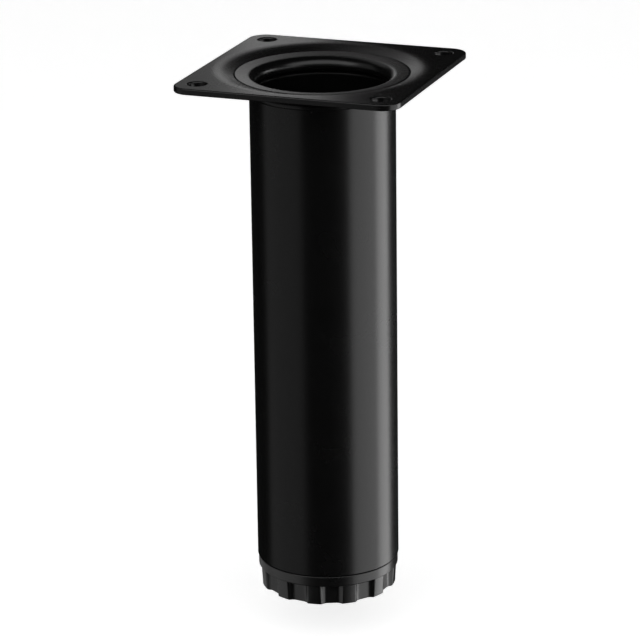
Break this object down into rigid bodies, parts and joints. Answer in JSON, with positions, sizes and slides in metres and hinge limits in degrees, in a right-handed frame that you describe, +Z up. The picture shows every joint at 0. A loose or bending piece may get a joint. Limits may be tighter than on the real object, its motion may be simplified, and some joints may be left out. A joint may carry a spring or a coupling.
{
  "type": "furniture leg",
  "caption": "Round black steel furniture leg with a square screw-on top plate and a scalloped plastic foot that screws in and out to level it.",
  "frame": {"origin": "on the floor under the tube's axis, with the foot screwed fully in", "axes": "+Z up along the tube to the plate; X and Y along the plate's edges"},
  "size_m": [0.064, 0.064, 0.15],
  "materials": {
    "coated_steel": "satin black powder coat on steel",
    "foot_plastic": "moulded black plastic, semi-matte",
    "insert_plastic": "moulded black plastic, matte",
    "zinc_steel": "bright zinc plate"
  },
  "bodies": {
    "leg": {"mounting_plate": "coated_steel", "leg_tube": "coated_steel", "tube_insert": "insert_plastic", "insert_nut": "zinc_steel"},
    "stud": {"levelling_stud": "zinc_steel"},
    "foot": {"adjusting_foot": "foot_plastic"}
  },
  "joints": [
    {"name": "foot_travel", "type": "slide", "parent": "leg", "child": "stud", "axis": [0, 0, -1], "range_m": [0, 0.01501]},
    {"name": "foot_turn", "type": "hinge", "parent": "stud", "child": "foot", "pos_m": [0, 0, 0], "axis": [0, 0, -1], "range_deg": [0, 4320]}
  ],
  "couplings": [
    {"joint": "foot_travel", "follows": "foot_turn", "m_per_rad": 0.00019894}
  ]
}
